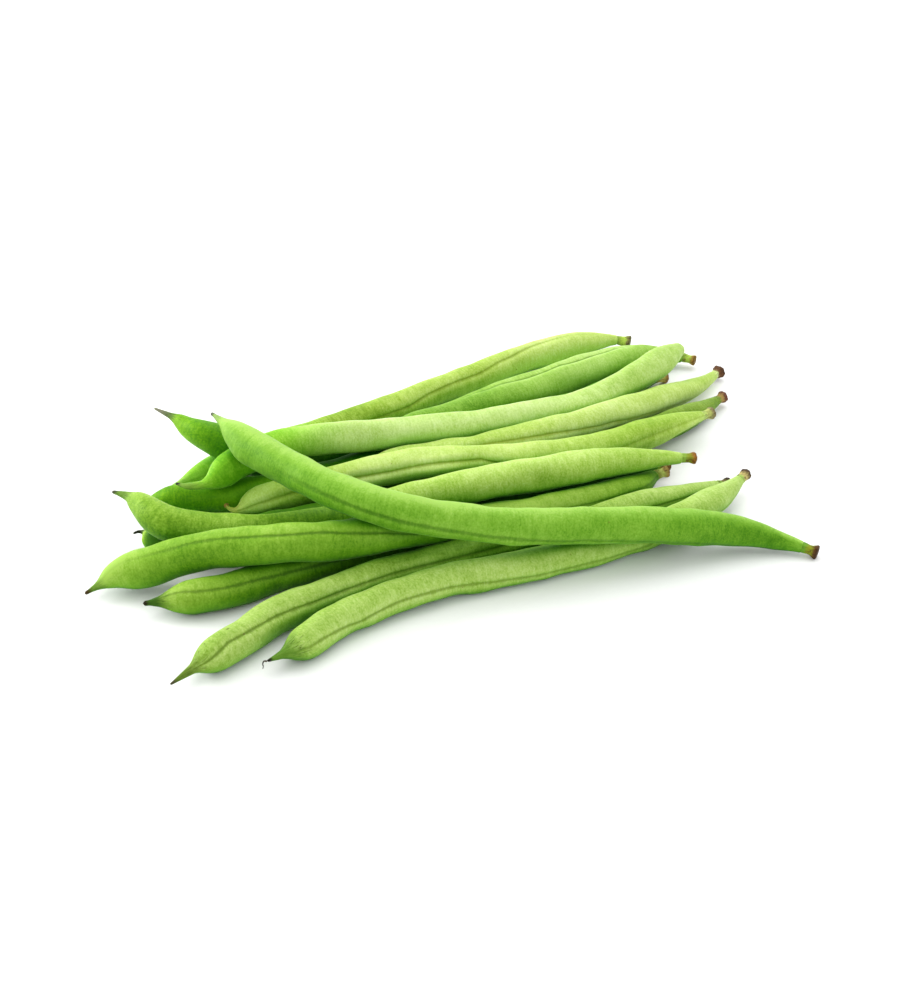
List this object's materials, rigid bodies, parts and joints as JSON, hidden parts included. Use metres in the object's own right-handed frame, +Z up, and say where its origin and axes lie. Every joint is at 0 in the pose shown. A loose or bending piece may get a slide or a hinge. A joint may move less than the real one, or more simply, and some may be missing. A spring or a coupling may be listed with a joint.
{
  "type": "green bean bundle",
  "caption": "Loose bundle of fresh green beans lying in a low heap, stems one way and pointed tails the other.",
  "frame": {"origin": "centre of the bundle's footprint, on the surface that the beans lie on", "axes": "+X along the bundle towards the stem ends, +Y across it towards its far side, +Z up"},
  "size_m": [0.1702, 0.1566, 0.0251],
  "materials": {
    "pod_fresh": "bean skin, vivid mid green, satin under a fine velvety down, slightly translucent",
    "pod_deep": "bean skin, deeper green, satin under a fine velvety down, slightly translucent",
    "pod_pale": "bean skin, pale yellow green, satin under a fine velvety down, slightly translucent",
    "stem_brown": "dried stem stub, brown with a darker rim, matt",
    "stem_olive": "stem stub still half green, olive with a darker rim, matt"
  },
  "bodies": {
    "root": {"bean_01_pod": "pod_pale", "bean_01_stem": "stem_olive", "bean_02_pod": "pod_deep", "bean_02_stem": "stem_brown", "bean_03_pod": "pod_deep", "bean_03_stem": "stem_brown", "bean_04_pod": "pod_pale", "bean_04_stem": "stem_brown", "bean_05_pod": "pod_pale", "bean_05_stem": "stem_brown", "bean_06_pod": "pod_deep", "bean_06_stem": "stem_olive", "bean_07_pod": "pod_deep", "bean_07_stem": "stem_brown", "bean_08_pod": "pod_deep", "bean_08_stem": "stem_olive", "bean_09_pod": "pod_pale", "bean_09_stem": "stem_brown", "bean_10_pod": "pod_pale", "bean_10_stem": "stem_olive", "bean_11_pod": "pod_pale", "bean_12_pod": "pod_fresh", "bean_12_stem": "stem_brown", "bean_13_pod": "pod_fresh", "bean_13_stem": "stem_brown", "bean_14_pod": "pod_fresh", "bean_14_stem": "stem_brown"}
  },
  "joints": []
}
